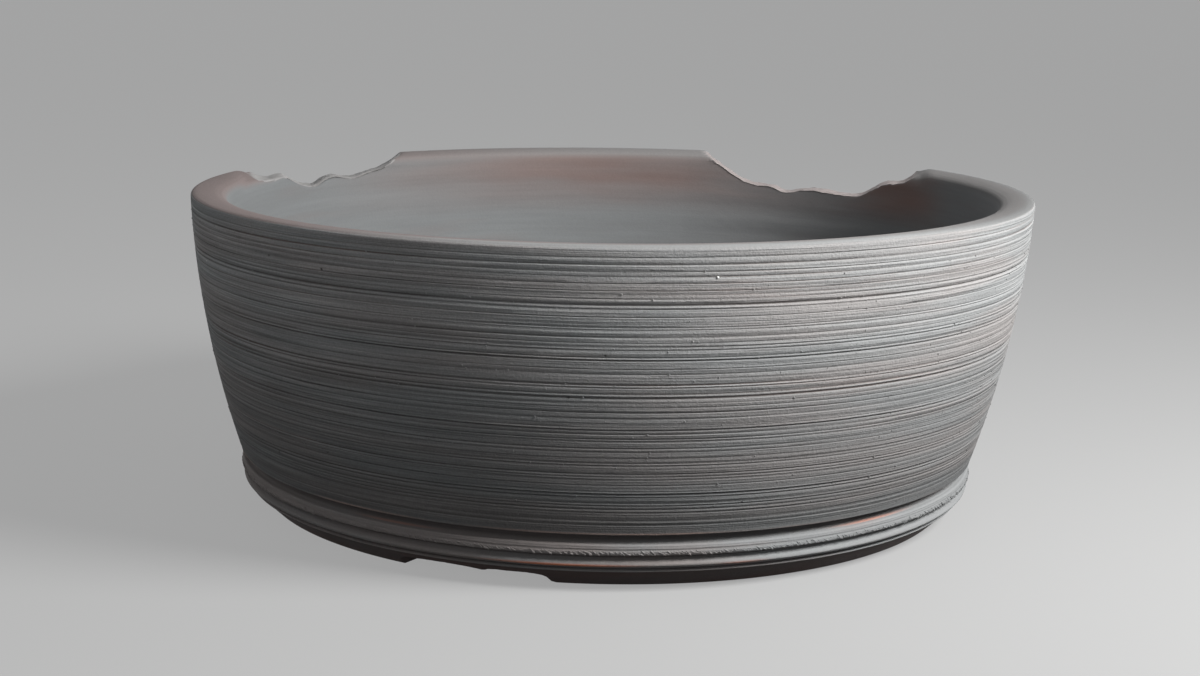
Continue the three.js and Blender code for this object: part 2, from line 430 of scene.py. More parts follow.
# the combed wall: the bites are ray cast from the CAD wall, the rest follows the same curves
wallLow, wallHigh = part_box("thrown_wall")
wallPlan = {
    "edgeRows": 3,
    "stretches": [0.022, 0.15, 0.39, 0.505, 0.64, 0.83, 1.01],   # shares of the way up, main lines between
    "lines": [9, 18, 7, 8, 11, 9],                               # combed lines in each stretch
    "grooveRows": 5,
    "lipRows": 15,
    "innerRows": 24,
    "startTurn": 112.0,
    "columns": [(84, 55.0), (8, 47.0), (76, 52.0), (96, 206.0)],   # right bite, gap, left bite, the rest
}
wallSizes = {
    "rimRadius": wallHigh.x - 0.2 * mm,
    "topHeight": wallHigh.z,
    "baseHeight": wallLow.z,
    "footRadius": 105.8 * mm,
    "swell": 4.6 * mm,
    "thickness": 10 * mm,
    "cadLipRise": 2.6 * mm,    # half an ellipse there
    "lipRise": 1.2 * mm,       # here a tight edge outside and a long slope to the inside
    "lipEdge": 2.0 * mm,
    "lipFall": 3.0 * mm,
    "rimSag": 1.6 * mm,        # the rim is low and drawn in on the left
    "rimLean": 1.0 * mm,
    "lipFullness": 0.8,
    "grooveWidth": 0.5 * mm,
    "grooveDepth": 0.25 * mm,
    "mainWidth": 0.9 * mm,
    "mainDepth": 0.5 * mm,
    "burr": 0.13 * mm,
    "crown": 0.05 * mm,
    "drift": 0.3 * mm,
    "wobble": 0.05 * mm,
    "tearJag": 0.7 * mm,
    "tearRough": 0.4 * mm,
    "tearRound": 0.25 * mm,
    "tearRise": 0.8 * mm,
    "tearEase": 1.2 * mm,      # rounds the corners where a tear starts
    "tearMiddle": 85 * mm,     # the tears spread backwards as in the CAD wall
    "tearSplay": 674 * mm,
    "rightTearEnd": 101.8 * mm,
    "leftTearEnd": -120.5 * mm,
    "knob": 4 * mm,            # the lip is rounded off beside their outer ends
    "knobFall": 1.2 * mm,
    "knobStart": -14 * mm,
    "knobFull": -9 * mm,
    "outerSkirt": 1.2 * mm,    # rays keep this far inside the CAD wall's faces
    "innerSkirt": 0.6 * mm,
    "ridge": 0.22 * mm,
    "ridgePitch": 8 * mm,
    "seed": 11,
}


def wallCurve(size, left, height):
    shoulder = size["topHeight"] - size["cadLipRise"]
    share = (height - size["baseHeight"]) / (shoulder - size["baseHeight"])
    rest = 1.0 - share
    middle = (size["footRadius"] + size["rimRadius"]) * 0.5 + size["swell"]
    reach = rest * rest * size["footRadius"] + share * rest * middle * 2.0 + share * share * size["rimRadius"]
    return reach - left * share * share * size["rimLean"]


def wallOutline(tree, size, turn, row):
    plan = wallPlan
    lipStart = plan["edgeRows"] + sum(plan["lines"]) * plan["grooveRows"]
    innerStart = lipStart + plan["lipRows"]
    lastRow = innerStart + plan["innerRows"]
    sine, cosine = turn.sin(), turn.cos()
    leftShare = (1.0 - sine) * 0.5
    left = leftShare * leftShare
    base = size["baseHeight"]
    half = size["thickness"] * 0.5
    shoulder = size["topHeight"] - leftShare * size["rimSag"] - size["lipRise"]
    right = sine.ease(-0.2, 0.2)
    jag = waver(tree, sine * 30.0, cosine * 30.0, 0.4, 4.0, 0.65) * size["tearJag"] * between(0.4, 1.0, right)

    # height of the torn face of the CAD wall at some reach, well above the lip where it is whole
    def tornFace(reach):
        reach = reach.least(size["rimRadius"] - size["outerSkirt"])
        reach = reach.most(size["rimRadius"] - size["thickness"] + size["innerSkirt"])
        met = rayHeight(tree, size, turn, reach, 0.2, -1.0)
        across = (reach - size["rimRadius"]) / half + 1.0
        whole = size["topHeight"] - size["cadLipRise"] * (1.0 - (1.0 - across * across) ** 0.5)
        torn = (whole - met).ease(0.1 * mm, 1.4 * mm)
        return met + jag * torn + (1.0 - torn) * size["tearEase"], torn

    outerFace, outerTorn = tornFace(size["rimRadius"])
    crest = shoulder.sum("SMOOTH_MIN", outerFace, size["tearEase"])
    brink = crest - outerTorn * size["tearRound"]

    # combing: five rows to a line, lines at uneven heights, the first line of a stretch a main one
    grooveRow = (row - plan["edgeRows"]).most(0.0)
    groove = ((grooveRow + 0.5) / plan["grooveRows"]).floor()
    step = grooveRow - groove * plan["grooveRows"]
    spans = [high - low for low, high in zip(plan["stretches"], plan["stretches"][1:])]
    combHeight = size["topHeight"] - size["cadLipRise"] - base

    def mainLine(number):
        firsts = [sum(plan["lines"][:count]) for count in range(1, len(plan["lines"]))]
        return sum(number.at(float(first)) for first in firsts)

    def lineHeight(number):
        nudge = draw(tree, number, size["seed"], -0.36, 0.36) * (1.0 - mainLine(number))
        share = reached(number + nudge, zip(plan["lines"], spans)) + plan["stretches"][0]
        return base + share * combHeight - share * share * leftShare * size["rimSag"]

    lowEdge = lineHeight(groove)
    gap = lineHeight(groove + 1.0) - lowEdge
    main = mainLine(groove)
    width = size["grooveWidth"] * draw(tree, groove, 3, 0.5, 1.35)
    width = between(width, size["mainWidth"], main).least(gap * 0.7)
    widthShare = step.past(0.5) * 0.45 + step.past(1.5) * 0.2 + step.past(2.5) * 0.35
    combed = lowEdge + width * widthShare + (gap - width) * step.past(3.5) * 0.5
    strength = between(draw(tree, groove, 5) * 0.7 + 0.3, 1.0, main)
    fade = clouds(tree, sine * 1.9, cosine * 1.9, groove * 3.7, 2.0).ease(0.3, 0.6)
    quiet = combed.ease(base + 3 * mm, base + 9 * mm) * 0.5 + 0.5
    quiet = quiet * (1.0 - combed.ease(shoulder - 3 * mm, shoulder - 1 * mm) * 0.35)
    strength = strength * between(fade * 0.65 + 0.35, fade * 0.3 + 0.7, main) * quiet
    raised = draw(tree, groove, 13).past(0.72) * (1.0 - main)   # lines where the comb pushed clay up
    depth = between(size["grooveDepth"], size["mainDepth"], main) * strength * (1.0 - raised * 1.6)
    burr = size["burr"] * strength
    cut = step.at(1.0) + step.at(2.0) * 0.85
    shift = step.at(3.0) * burr * draw(tree, groove, 7, -0.3, 1.0)
    shift = shift + step.at(0.0) * burr * draw(tree, groove, 9, -0.4, 0.7)
    shift = shift + step.at(4.0) * size["crown"] - cut * depth
    ends = combed.ease(base, base + 12 * mm) * (1.0 - combed.ease(shoulder - 10 * mm, shoulder - 1 * mm))
    drift = waver(tree, sine * 1.2, cosine * 1.2, combed * 28.0, 1.0) * size["drift"] * ends
    combed = combed + drift + waver(tree, sine * 11.0, cosine * 11.0, groove * 5.3) * size["wobble"] * ends

    # a soft lower edge below the combing
    edge = 1.0 - row.past(plan["edgeRows"] - 0.5)
    edgeHeight = base + row.past(0.5) * (0.12 * mm) + row.past(1.5) * (0.6 * mm)
    inset = row.at(0.0) * (0.5 * mm) - row.at(1.0) * (0.06 * mm)
    free = between(combed, edgeHeight, edge)
    sideHeight = free.least(brink)
    live = (1.0 - free.past(brink)) * (1.0 - edge)
    sideReach = wallCurve(size, left, sideHeight) + shift * live - inset * edge

    # lip, whole or torn off
    sweep = row.ramp(float(lipStart), float(innerStart - 1)) * math.pi
    swing = sweep.cos()
    outer = swing.past(0.0)
    edgeShare = swing.sum("ABSOLUTE") ** size["lipFullness"]
    arch = sweep.sin().most(0.0) ** size["lipFullness"]
    inward = between(size["lipEdge"] + edgeShare * (size["thickness"] - size["lipEdge"]),
                     (1.0 - edgeShare) * size["lipEdge"], outer)
    across = inward / size["thickness"]
    lipReach = wallCurve(size, left, crest) - inward
    aside = lipReach * sine / ((-(lipReach * cosine) - size["tearMiddle"]) / size["tearSplay"] + 1.0)

    def beside(away):
        return (1.0 - away.ramp(0.0, size["knob"])) * away.ramp(size["knobStart"], size["knobFull"])

    nearEnd = beside(aside - size["rightTearEnd"]) + beside(size["leftTearEnd"] - aside)
    lipTop = shoulder + size["lipRise"] - nearEnd * nearEnd * size["knobFall"] * (-cosine).ease(-0.2, 0.0)
    wholeLip = lipTop - (1.0 - arch) * between(size["lipFall"], size["lipRise"], outer)
    lipFace, lipTorn = tornFace(lipReach)
    rough = waver(tree, lipReach * sine * 420.0, lipReach * cosine * 420.0, sweep * 2.0, 3.0, 0.6)
    lipFace = lipFace + rough * size["tearRough"] * sweep.sin().ease(0.0, 0.5)
    tilt = between(0.9, 0.6, right) * size["tearRise"]     # the tear climbs towards the inside
    lipFace = lipFace + across * tilt - lipTorn * size["tearRound"] * swing ** 6.0
    lipHeight = wholeLip.sum("SMOOTH_MIN", lipFace, size["tearEase"])
    tornOff = (wholeLip - lipFace).ease(-0.1 * mm, 0.25 * mm)

    # inside, with the soft ridges of throwing
    innerFace, innerTorn = tornFace(size["rimRadius"] - size["thickness"])
    innerBrink = (lipTop - size["lipFall"]).least(innerFace + tilt) - innerTorn * size["tearRound"]
    share = row.ramp(float(innerStart - 1), float(lastRow - 1)) ** 1.7
    innerHeight = between(innerBrink, base, share)
    phase = innerHeight / size["ridgePitch"] + turn / (2 * math.pi)
    phase = phase + waver(tree, sine * 1.5, cosine * 1.5, innerHeight * 30.0) * 0.5
    ridge = (phase * (2 * math.pi)).sin() * size["ridge"] * share.ease(0.03, 0.16)
    innerReach = wallCurve(size, left, innerHeight) - size["thickness"] + ridge

    onLip = row.past(lipStart - 0.5)
    onInside = row.past(innerStart - 0.5)
    closing = row.past(lastRow - 0.5)
    reach = between(between(sideReach, lipReach, onLip), innerReach, onInside)
    reach = between(reach, wallCurve(size, left, base) - 0.9 * mm, closing)
    height = between(between(sideHeight, lipHeight, onLip), innerHeight, onInside)
    height = between(height, base, closing)
    lip = onLip * (1.0 - onInside)
    marks = {
        # groove: the cut rows of a line, for painted shade, and negative on its lower edge, for a painted
        # highlight
        "groove": (cut * (1.0 - raised * 1.6) - step.at(0.0) * 0.8) * strength * live * (1.0 - onLip),
        "torn": lip * tornOff * between(1.0, sweep.sin().ease(0.0, 0.3), outer),
        "lip": lip * (1.0 - tornOff) * between(1.0, arch.ease(0.5, 0.75), outer),
        "crown": lip * across,
        "inside": onInside + lip * (1.0 - tornOff) * (1.0 - outer) * (1.0 - arch.ease(0.05, 0.7)),
    }
    return reach, height, marks


wallRows = wallPlan["edgeRows"] + sum(wallPlan["lines"]) * wallPlan["grooveRows"]
wallRows += wallPlan["lipRows"] + wallPlan["innerRows"] + 1
combedWall = turnedPiece("combed_wall", wallSizes, wallPlan["columns"], wallRows, wallPlan["startTurn"],
                         wallOutline, wallClay, cadNodes["thrown_wall"], 40.0)

# grit that stands out of the combed wall
curveLabels = ("rimRadius", "topHeight", "baseHeight", "footRadius", "swell", "cadLipRise", "rimLean", "seed")
gritSizes = {
    **{label: wallSizes[label] for label in curveLabels},
    "count": 1500,
    "lowest": 20 * mm,
    "highest": 84.5 * mm,
    "belowBites": 74 * mm,
    "grain": 0.42 * mm,
    "quartzCount": 3,
    "quartzTurn": 12.3,        # the brightest grain, in front
    "quartzHeight": 81.3 * mm,
}


def gritPiece(name, sizes, clay):
    tree, keys, size = newTree(name + "_scattered", sizes)
    index = make(tree, "GeometryNodeInputIndex")
    line = make(tree, "GeometryNodeMeshLine", {"Count": size["count"]})
    first = index.at(0.0)
    turn = between(draw(tree, index, size["seed"], 0.0, 360.0), size["quartzTurn"], first) * (math.pi / 180)
    sine, cosine = turn.sin(), turn.cos()
    highest = between(size["highest"], size["belowBites"], (-cosine).past(0.0))
    height = size["lowest"] + draw(tree, index, size["seed"] + 1) * (highest - size["lowest"])
    height = between(height, size["quartzHeight"], first)
    leftShare = (1.0 - sine) * 0.5
    reach = wallCurve(size, leftShare * leftShare, height)
    line = make(tree, "GeometryNodeSetPosition", {
        "Geometry": line, "Position": spot(tree, reach * sine, -(reach * cosine), height)})
    white = 1.0 - index.past(size["quartzCount"] - 0.5)
    line = make(tree, "GeometryNodeStoreNamedAttribute", {
        "Geometry": line, "Name": "quartz", "Value": white}, data_type="FLOAT", domain="POINT")
    chip = make(tree, "GeometryNodeMeshUVSphere", {"Segments": 5, "Rings": 3, "Radius": 0.5}, out="Mesh")
    wide = size["grain"] * (draw(tree, index, size["seed"] + 2) ** 2.0 * 0.9 + 0.5 + first * 0.6)
    plugs = {"Points": line, "Instance": chip, "Scale": spot(tree, wide, wide, wide)}
    shape = make(tree, "GeometryNodeInstanceOnPoints", plugs)
    closeTree(tree, shape, size)
    return runTree(name, tree, keys, sizes, clay, None, 30.0)


wallGrit = gritPiece("wall_grit", gritSizes, wallClay)

# finish of the moulded band
bandColours = {
    "pale": (0.215, 0.219, 0.219, 1),
    "warm": (0.215, 0.192, 0.183, 1),
    "wear": (0.75, 0.24, 0.12, 1),
    # painted shade in the coves and grooves of the band
    "hollow": (0.1, 0.085, 0.081, 1),
    "grainPitch": 0.5 * mm,
}


def paintBand(tree, x, y, z):
    c = bandColours
    sand, lumps = clayGrain(tree, x, y, z, c["grainPitch"])
    broad = streaks(tree, x, y, z, 0.07, 0.006)
    fine = streaks(tree, x, y, z, 0.03, 0.0007)
    drag = streaks(tree, x, y, z, 0.1, 0.0004, 2.0, 0.6)
    worn = streaks(tree, x, y, z, 0.035, 0.03, 2.0)
    colour = tint(tree, c["pale"], c["warm"], (broad - x * 2.0).ease(0.36, 0.66))
    colour = tint(tree, colour, c["wear"], mark(tree, "wear") * worn.ease(0.24, 0.44))
    # painted shade in the hollows
    colour = tint(tree, colour, c["hollow"], mark(tree, "hollow") * 0.75)
    colour = shaded(tree, colour, fine * 0.3 + 0.85)
    colour = shaded(tree, colour, drag * 0.24 + 0.88)
    colour = shaded(tree, colour, sand * 0.34 + 0.83)
    relief = sand * (0.1 * mm) + lumps * (0.08 * mm) + fine * (0.14 * mm) + drag * (0.2 * mm)
    return colour, sand * 0.12 + 0.8, relief


bandClay = clayFinish("moulded_stoneware", paintBand, 0.25)
print("band finish made")

# the moulded band: mouldings from the foot ring up, as rows, height, reach, fullness and lean
bandLow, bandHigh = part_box("foot_band")
bandPlan = {
    "mouldings": [(6, 0.45, 0.3, 1.0, 1.0), (8, 0.6, -0.8, 1.0, 1.0), (16, 2.5, 1.8, 0.85, 1.0),
                  (10, 0.95, -0.6, 1.0, 1.0), (30, 3.1, 2.3, 0.5, 0.6), (14, 2.5, -1.8, 0.8, 1.0)],
    "columns": [(720, 360.0)],
    "startTurn": 90.0,
}
bandSizes = {
    "bandRadius": 103.3 * mm,
    "seatRadius": 93.8 * mm,
    "lowHeight": bandLow.z,
    "highHeight": bandHigh.z,
    "slopeHeight": 12.9 * mm,    # clay between the upper roll and the cove
    "slope": 1.2 * mm,
    "slopeSpread": 1.6 * mm,
    "tearLow": 10.0 * mm,        # torn strip on the lower half of the upper roll
    "tearHigh": 11.3 * mm,
    "tearDepth": 0.06 * mm,
    "tearLip": 0.12 * mm,
    "wearLow": 7.2 * mm,         # red wear under the lower roll and on top of the upper one
    "wearHigh": 13.0 * mm,
    "wearLowWidth": 0.5 * mm,
    "wearHighWidth": 0.22 * mm,
    "unevenness": 0.12 * mm,
}


def bandOutline(tree, size, turn, row):
    sine, cosine = turn.sin(), turn.cos()
    height, offset, hollow, start = size["lowHeight"], 0.0, 0.0, 0
    for rows, rise, reach, fullness, lean in bandPlan["mouldings"]:
        risen = (1.0 - (row.ramp(float(start), float(start + rows)) * math.pi).cos()) * 0.5
        height = height + risen * (rise * mm)
        bulge = (risen ** lean * math.pi).sin().most(0.0)
        offset = bulge ** fullness * (reach * mm) + offset
        # the hollows of the band make the mask for painted shade
        if reach < 0:
            hollow = bulge.ease(0.1, 0.9) + hollow
        start += rows
    outerRows = start
    offset = offset + height.hill(size["slopeHeight"], size["slopeSpread"]) * size["slope"]
    wander = waver(tree, sine * 14.0, cosine * 14.0, 0.2, 3.0) * (0.2 * mm)
    broken = clouds(tree, sine * 34.0, cosine * 34.0, 4.0, 3.0, 0.6).ease(0.3, 0.5) * 0.7 + 0.3
    strip = height.ease(size["tearLow"], size["tearLow"] + 0.3 * mm)
    strip = strip * (1.0 - (height + wander).ease(size["tearHigh"], size["tearHigh"] + 0.25 * mm))
    offset = offset - strip * broken * size["tearDepth"]
    offset = offset + (height + wander).hill(size["tearHigh"] + 0.4 * mm, 0.35 * mm) * size["tearLip"]
    uneven = waver(tree, sine * 3.0, cosine * 3.0, height * 300.0) * size["unevenness"]
    outer = 1.0 - row.past(outerRows + 0.5)
    reach = between(size["seatRadius"], size["bandRadius"] + offset + uneven, outer)
    height = between(height, size["lowHeight"], row.past(outerRows + 1.5))
    firstUneven = waver(tree, sine * 3.0, cosine * 3.0, size["lowHeight"] * 300.0) * size["unevenness"]
    reach = between(reach, size["bandRadius"] + firstUneven, row.past(outerRows + 2.5))
    scuff = sine.hill(-0.1, 0.24) + sine.hill(0.33, 0.08) * 0.35
    wear = height.hill(size["wearLow"], size["wearLowWidth"]) * scuff
    stain = sine.hill(0.66, 0.14) * 0.5 + sine.hill(-0.5, 0.14) * 0.3
    wear = wear + height.hill(size["wearHigh"], size["wearHighWidth"]) * stain
    return reach, height, {"hollow": hollow * outer, "wear": wear * outer}


bandRows = sum(moulding[0] for moulding in bandPlan["mouldings"]) + 4
mouldedBand = turnedPiece("moulded_band", bandSizes, bandPlan["columns"], bandRows, bandPlan["startTurn"],
                          bandOutline, bandClay, None, 60.0)

# finish of the foot ring: its clay is dark, and is painted darker still as shade on its undercut face
footColours = {
    "brown": (0.085, 0.06, 0.056, 1),
    "grey": (0.09, 0.076, 0.073, 1),
    "rust": (0.24, 0.12, 0.09, 1),
    "grainPitch": 0.45 * mm,
}


def paintFoot(tree, x, y, z):
    c = footColours
    sand, lumps = clayGrain(tree, x, y, z, c["grainPitch"])
    broad = streaks(tree, x, y, z, 0.05, 0.006)
    fine = streaks(tree, x, y, z, 0.03, 0.0007)
    colour = tint(tree, c["brown"], c["grey"], broad.ease(0.36, 0.64))
    rust = streaks(tree, x, y, z, 0.06, 0.004, 2.0).ease(0.58, 0.74) * z.ease(3 * mm, 5 * mm)
    colour = tint(tree, colour, c["rust"], rust * 0.6)
    colour = shaded(tree, colour, fine * 0.22 + 0.89)
    colour = shaded(tree, colour, sand * 0.3 + 0.85)
    relief = sand * (0.08 * mm) + lumps * (0.12 * mm) + fine * (0.08 * mm)
    return colour, sand * 0.1 + 0.84, relief


footClay = clayFinish("foot_stoneware", paintFoot, 0.25)
print("foot finish made")

# the foot ring: notches are ray cast from the CAD ring
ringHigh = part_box("foot_ring")[1]
ringPlan = {
    "soleRows": 10,
    "faceRows": 18,
    "columns": [(640, 360.0)],
    "startTurn": 60.0,
}
ringSizes = {
    "topRadius": ringHigh.x,
    "soleRadius": 97.6 * mm,
    "innerRadius": 85.6 * mm,
    "middleRadius": 92 * mm,
    "topHeight": ringHigh.z,
    "edge": 0.8 * mm,
    "trimMark": 0.06 * mm,
    "notchJag": 0.25 * mm,
}


def ringOutline(tree, size, turn, row):
    plan = ringPlan
    sine, cosine = turn.sin(), turn.cos()
    roof = rayHeight(tree, size, turn, size["middleRadius"], -0.1, 1.0)
    cut = roof.ease(0.05 * mm, 0.6 * mm)
    roof = roof + waver(tree, sine * 40.0, cosine * 40.0, 0.7, 3.0) * cut * size["notchJag"]
    faceStart = plan["soleRows"]
    faceEnd = faceStart + plan["faceRows"]
    soleShare = row.ramp(0.0, float(faceStart - 1))
    faceShare = row.ramp(float(faceStart - 1), float(faceEnd))
    soleReach = between(size["innerRadius"] + size["edge"], size["soleRadius"] - size["edge"], soleShare)
    faceHeight = (faceShare * size["topHeight"]).most(roof)
    slant = size["soleRadius"] + (size["topRadius"] - size["soleRadius"]) * faceHeight / size["topHeight"]
    rounded = 1.0 - faceHeight.ramp(0.0, 0.9 * mm)
    faceReach = slant - rounded * rounded * size["edge"]
    trim = waver(tree, sine * 2.0, cosine * 2.0, faceHeight * 1500.0, 2.0) * size["trimMark"]
    faceReach = faceReach + trim * faceShare.ease(0.05, 0.3) * (1.0 - faceShare.ease(0.85, 1.0))
    onFace = row.past(faceStart - 0.5)
    topInner = row.past(faceEnd + 0.5)
    low = row.past(faceEnd + 1.5)
    closing = row.past(faceEnd + 2.5)
    reach = between(soleReach, faceReach, onFace)
    reach = between(reach, size["innerRadius"], topInner)
    reach = between(reach, size["innerRadius"] + size["edge"], closing)
    height = between(roof, faceHeight, onFace)
    height = between(height, roof + size["edge"], low)
    height = between(height, roof, closing)
    return reach, height, {}


ringRows = ringPlan["soleRows"] + ringPlan["faceRows"] + 4
footRing = turnedPiece("trimmed_foot_ring", ringSizes, ringPlan["columns"], ringRows, ringPlan["startTurn"],
                       ringOutline, footClay, cadNodes["foot_ring"], 50.0)

# finish of the floor and the coil that seals its corner
floorColours = {
    "grey": (0.235, 0.232, 0.232, 1),
    "blue": (0.29, 0.31, 0.312, 1),
    "red": (0.30, 0.20, 0.175, 1),
    "grainPitch": 0.5 * mm,
}


def paintFloor(tree, x, y, z):
    c = floorColours
    sand, lumps = clayGrain(tree, x, y, z, c["grainPitch"])
    broad = clouds(tree, x * 22.0, y * 22.0, z * 60.0, 3.0)
    colour = tint(tree, c["grey"], c["blue"], broad.ease(0.42, 0.66))
    stain = clouds(tree, x * 34.0 + 5.0, y * 34.0, z * 60.0, 3.0).ease(0.56, 0.74)
    colour = tint(tree, colour, c["red"], stain * 0.55)
    colour = shaded(tree, colour, sand * 0.3 + 0.85)
    relief = sand * (0.06 * mm) + lumps * (0.16 * mm)
    return colour, sand * 0.12 + 0.82, relief


floorClay = clayFinish("floor_stoneware", paintFloor, 0.25)
print("floor finish made")

# the coil in the inside corner, thumbed to a hollow
coilLow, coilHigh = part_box("corner_coil")
coilPlan = {
    "hollowRows": 18,
    "columns": [(200, 360.0)],
    "startTurn": 90.0,
}
coilSizes = {
    "baseHeight": coilLow.z,
    "topHeight": coilHigh.z,
    "backRadius": 95.5 * mm,
    "backTop": coilHigh.x,
    "reach": 12 * mm,
    "edge": 0.4 * mm,
    "thumbing": 0.45 * mm,
}


def coilOutline(tree, size, turn, row):
    plan = coilPlan
    sine, cosine = turn.sin(), turn.cos()
    start = 3
    share = row.ramp(float(start), float(start + plan["hollowRows"]))
    rest = 1.0 - share
    topReach = size["backTop"] - size["edge"]
    toeReach = size["backRadius"] - size["reach"]
    toeHeight = size["baseHeight"] + size["edge"]
    reach = rest * rest * topReach + share * rest * size["backRadius"] * 2.0 + share * share * toeReach
    height = rest * rest * size["topHeight"] + share * (2.0 - share) * toeHeight
    dent = clouds(tree, sine * 9.0, cosine * 9.0, share * 1.5, 2.0) * size["thumbing"]
    reach = reach - dent * (share * rest * 4.0)
    atToe = row.at(0.0)
    atBack = row.at(1.0)
    atTop = row.at(2.0)
    closing = row.past(start + plan["hollowRows"] + 0.5)
    foot = (atToe + closing).least(1.0)
    reach = between(between(reach, size["backRadius"], atBack), size["backTop"], atTop)
    reach = between(reach, toeReach, foot)
    height = between(between(height, size["baseHeight"], atBack), size["topHeight"], atTop)
    height = between(height, size["baseHeight"], foot)
    return reach, height, {}


coilRows = coilPlan["hollowRows"] + 5
thumbedCoil = turnedPiece("thumbed_coil", coilSizes, coilPlan["columns"], coilRows, coilPlan["startTurn"],
                          coilOutline, floorClay, None, 70.0)

# the floor slab, with turned rings, drain holes and wire holes
slabLow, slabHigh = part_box("floor_slab")
slabPlan = {
    "faceRows": 60,
    "edgeRows": 4,
    "columns": 120,
    "cutMargin": 2 * mm,
    "flareDepth": 1.6 * mm,
    "fullFlareRadius": 4 * mm,
    "holes": [(3, 46 * mm, 11 * mm, 40.0, 40),       # count, pitch radius, radius, first turn, sides
              (3, 70 * mm, 2.5 * mm, 90.2, 16),
              (3, 70 * mm, 2.5 * mm, 109.8, 16)],
}
slabSizes = {
    "radius": slabHigh.x,
    "lowHeight": slabLow.z,
    "highHeight": slabHigh.z,
    "ring": 0.16 * mm,
    "ringPitch": 6.5 * mm,
    "edgeRound": 1.2 * mm,
    "flare": 1.1 * mm,
}


def slabPiece(name, sizes, clay):
    plan = slabPlan
    tree, keys, size = newTree(name + "_turned", sizes)
    rows = 2 * plan["faceRows"] + plan["edgeRows"]
    index = make(tree, "GeometryNodeInputIndex")
    column = ((index + 0.5) / float(rows)).floor()
    row = index - column * float(rows)
    turn = column * (2 * math.pi / plan["columns"])
    under = row.ramp(0.0, float(plan["faceRows"] - 1))
    over = row.ramp(float(plan["faceRows"] + plan["edgeRows"]), float(rows - 1))
    rim = row.ramp(float(plan["faceRows"] - 1), float(plan["faceRows"] + plan["edgeRows"]))
    flat = size["radius"] - size["edgeRound"]
    bulge = (rim * math.pi).sin() * size["edgeRound"]
    reach = flat * (under - over) + bulge
    height = between(size["lowHeight"], size["highHeight"], rim)
    phase = reach / size["ringPitch"] + turn / (2 * math.pi)
    rings = ((phase * (2 * math.pi)).sin() - 1.0) * size["ring"] * reach.ease(4 * mm, 16 * mm)
    height = height + rings * over.past(0.0)
    shape = make(tree, "GeometryNodeMeshGrid", {"Vertices X": plan["columns"] + 1, "Vertices Y": rows})
    place = spot(tree, reach * turn.sin(), -(reach * turn.cos()), height)
    shape = make(tree, "GeometryNodeSetPosition", {"Geometry": shape, "Position": place})
    shape = make(tree, "GeometryNodeMergeByDistance", {"Geometry": shape, "Distance": 0.01 * mm})

    # each cutter is a cylinder that opens towards the two faces
    cutters = []
    middle = (sizes["lowHeight"] + sizes["highHeight"]) / 2
    deep = sizes["highHeight"] - sizes["lowHeight"] + 2 * plan["cutMargin"]
    for count, pitch, radius, firstTurn, sides in plan["holes"]:
        cutter = make(tree, "GeometryNodeMeshCylinder", {
            "Vertices": sides, "Side Segments": 28, "Radius": radius, "Depth": deep}, out="Mesh")
        split = tree.nodes.new("ShaderNodeSeparateXYZ")
        plug(tree, make(tree, "GeometryNodeInputPosition"), split.inputs[0])
        x, y, z = (Wire(tree, split.outputs[axis]) for axis in range(3))
        face = deep / 2 - plan["cutMargin"]
        away = z.sum("ABSOLUTE").ramp(face - plan["flareDepth"], face)
        flareShare = min(radius, plan["fullFlareRadius"]) / plan["fullFlareRadius"]
        wide = 1.0 + away * away * size["flare"] * flareShare / radius
        cutter = make(tree, "GeometryNodeSetPosition", {
            "Geometry": cutter, "Position": spot(tree, x * wide, y * wide, z + middle)})
        for number in range(count):
            angle = math.radians(firstTurn + number * 360 / count)
            shift = (pitch * math.sin(angle), -pitch * math.cos(angle), 0.0)
            cutters.append(make(tree, "GeometryNodeTransform", {"Geometry": cutter, "Translation": shift}))
    boolean = tree.nodes.new("GeometryNodeMeshBoolean")
    boolean.operation = "DIFFERENCE"
    boolean.solver = "EXACT"
    plug(tree, shape, boolean.inputs["Mesh 1"])
    for cutter in cutters:
        plug(tree, cutter, boolean.inputs["Mesh 2"])
    closeTree(tree, Wire(tree, boolean.outputs[0]), size)
    return runTree(name, tree, keys, sizes, clay, None, 40.0)


turnedFloor = slabPiece("turned_floor", slabSizes, floorClay)

# torn flakes: little slanted chips of clay along a line round the pot
flakeSizes = {
    "count": 1700,
    "radius": 105.5 * mm,
    "height": 10.6 * mm,
    "spread": 0.32 * mm,
    "length": 1.15 * mm,
    "clumping": 0.3,
    "seed": 4,
}
fringeSizes = {
    "count": 700,
    "radius": 105.6 * mm,
    "height": wallLow.z + 0.15 * mm,
    "spread": 0.15 * mm,
    "length": 0.8 * mm,
    "clumping": 0.56,
    "seed": 21,
}


